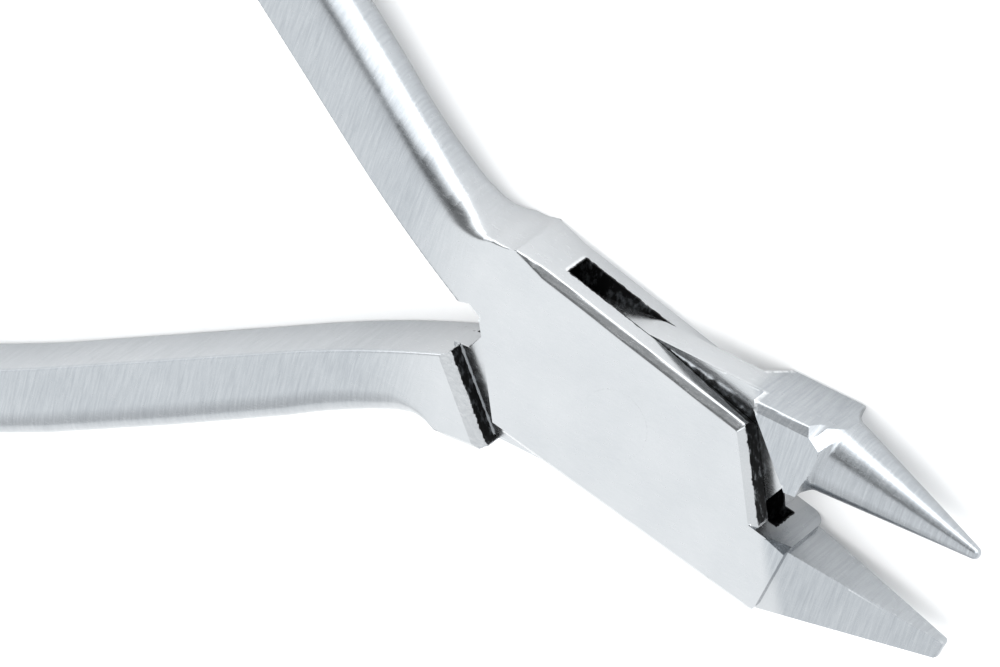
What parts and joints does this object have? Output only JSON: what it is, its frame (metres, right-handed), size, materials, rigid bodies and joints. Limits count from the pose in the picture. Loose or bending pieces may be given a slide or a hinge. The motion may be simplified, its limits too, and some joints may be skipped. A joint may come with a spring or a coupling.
{
  "type": "box-joint beak pliers",
  "caption": "Slim box-joint pliers with one conical beak, one pyramid-shaped beak with a flat inner face, and outward-bowed handles, for bending fine wire.",
  "frame": {"origin": "where the pivot axis meets the back face of the joint, which is the face the pliers lie on", "axes": "+X towards the beaks, along the middle line between the halves at rest; +Z along the pivot axis, out of the front face; +Y to the side of the conical beak"},
  "size_m": [0.1222, 0.0928, 0.0079],
  "materials": {
    "box_steel": "satin",
    "tenon_steel": "satin",
    "rivet_steel": "satin, ground flush"
  },
  "bodies": {
    "box_side": {"box_half": "box_steel", "joint_rivet": "rivet_steel"},
    "tenon_side": {"tenon_half": "tenon_steel"}
  },
  "joints": [
    {"name": "pivot", "type": "hinge", "parent": "box_side", "child": "tenon_side", "pos_m": [0, 0, 0.00395], "axis": [0, 0, 1], "range_deg": [-15, 20]}
  ]
}
